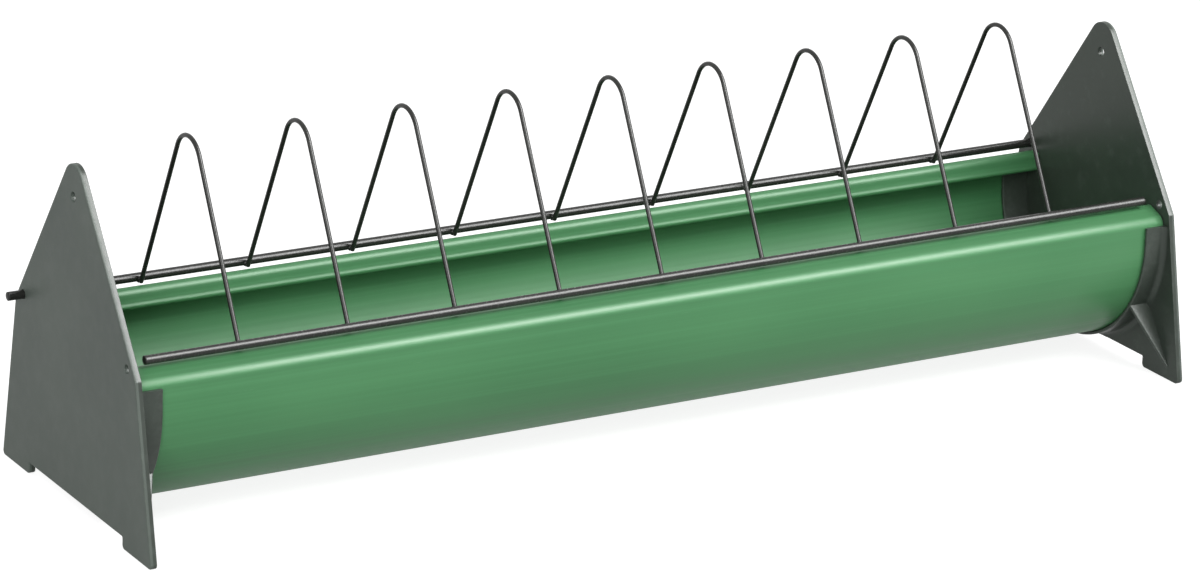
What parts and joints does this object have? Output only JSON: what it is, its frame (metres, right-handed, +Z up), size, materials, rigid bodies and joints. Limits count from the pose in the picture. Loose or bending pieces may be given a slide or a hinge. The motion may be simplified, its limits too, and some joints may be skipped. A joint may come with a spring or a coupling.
{
  "type": "feed trough",
  "caption": "Long round-bottomed poultry feed trough held between two end plates, with a wire grille that swings back on its rear rail for filling.",
  "frame": {"origin": "on the ground, in the middle of the footprint", "axes": "+X along the trough, +Y towards the hinged rear rail, +Z up"},
  "size_m": [0.5176, 0.1446, 0.1531],
  "materials": {
    "green_plastic": "satin extruded plastic",
    "grey_plastic": "satin moulded plastic",
    "coated_wire": "satin coated steel wire"
  },
  "bodies": {
    "stand": {"trough": "green_plastic", "end_plate_left": "grey_plastic", "end_plate_right": "grey_plastic"},
    "grille": {"rear_rail": "coated_wire", "front_rail": "coated_wire", "hoop_1": "coated_wire", "hoop_2": "coated_wire", "hoop_3": "coated_wire", "hoop_4": "coated_wire", "hoop_5": "coated_wire", "hoop_6": "coated_wire", "hoop_7": "coated_wire", "hoop_8": "coated_wire", "hoop_9": "coated_wire"}
  },
  "joints": [
    {"name": "grille_swing", "type": "hinge", "parent": "stand", "child": "grille", "pos_m": [0, 0.0501, 0.0775], "axis": [-1, 0, 0], "range_deg": [0, 180]}
  ]
}
